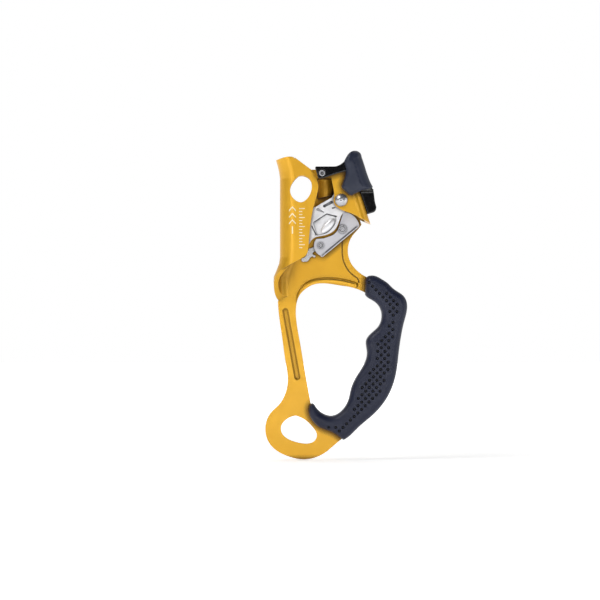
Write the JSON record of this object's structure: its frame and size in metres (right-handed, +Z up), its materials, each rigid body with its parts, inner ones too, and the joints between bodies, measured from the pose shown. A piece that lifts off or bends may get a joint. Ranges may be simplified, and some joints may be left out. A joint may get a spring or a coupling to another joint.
{
  "type": "handled rope ascender",
  "caption": "Folded sheet metal rope clamp with a rope channel, a sprung toothed cam, a catch lever, a thumb trigger and a moulded hand grip over an open bow.",
  "frame": {"origin": "on the rope's line through the channel, level with the cam's axle", "axes": "+Z up along the rope, +X from the channel towards the grip, front towards -Y"},
  "size_m": [0.0923, 0.0349, 0.2006],
  "materials": {
    "anodised_gold": "fine-blasted gold anodised aluminium sheet",
    "grip_rubber": "matte navy moulded rubber with a band of dimples",
    "cast_steel": "investment-cast steel, tumbled and plated",
    "bronze": "plain turned bronze",
    "rivet_steel": "bright formed steel rivet",
    "washer_steel": "plain plated steel",
    "spring_steel": "drawn spring wire",
    "lever_steel": "satin brushed stamped steel",
    "hook_steel": "bright stamped steel",
    "gloss_black": "glossy black moulded nylon",
    "soft_cover": "matte navy soft-touch moulding"
  },
  "bodies": {
    "frame": {"frame": "anodised_gold", "grip_front_shell": "grip_rubber", "grip_rear_shell": "grip_rubber", "cam_axle": "rivet_steel", "cam_front_washer": "washer_steel", "cam_rear_spacer": "washer_steel", "cam_spring": "spring_steel", "catch_rivet": "rivet_steel", "catch_washer": "washer_steel", "catch_spring": "spring_steel", "trigger_rivet": "rivet_steel", "trigger_spring": "spring_steel"},
    "cam": {"cam": "cast_steel", "cam_bush": "bronze"},
    "catch": {"catch_lever": "lever_steel", "catch_hook": "hook_steel", "hook_rivet": "rivet_steel"},
    "trigger": {"trigger_arm": "gloss_black", "trigger_cap": "soft_cover", "trigger_bush": "bronze"}
  },
  "joints": [
    {"name": "cam_pivot", "type": "hinge", "parent": "frame", "child": "cam", "pos_m": [0.0302, 0, 0], "axis": [0, -1, 0], "range_deg": [-8, 58]},
    {"name": "catch_pivot", "type": "hinge", "parent": "frame", "child": "catch", "pos_m": [0.0312, 0, -0.0186], "axis": [0, -1, 0], "range_deg": [0, 24]},
    {"name": "trigger_pivot", "type": "hinge", "parent": "frame", "child": "trigger", "pos_m": [0.0178, 0, 0.0173], "axis": [0, -1, 0], "range_deg": [0, 30]}
  ]
}
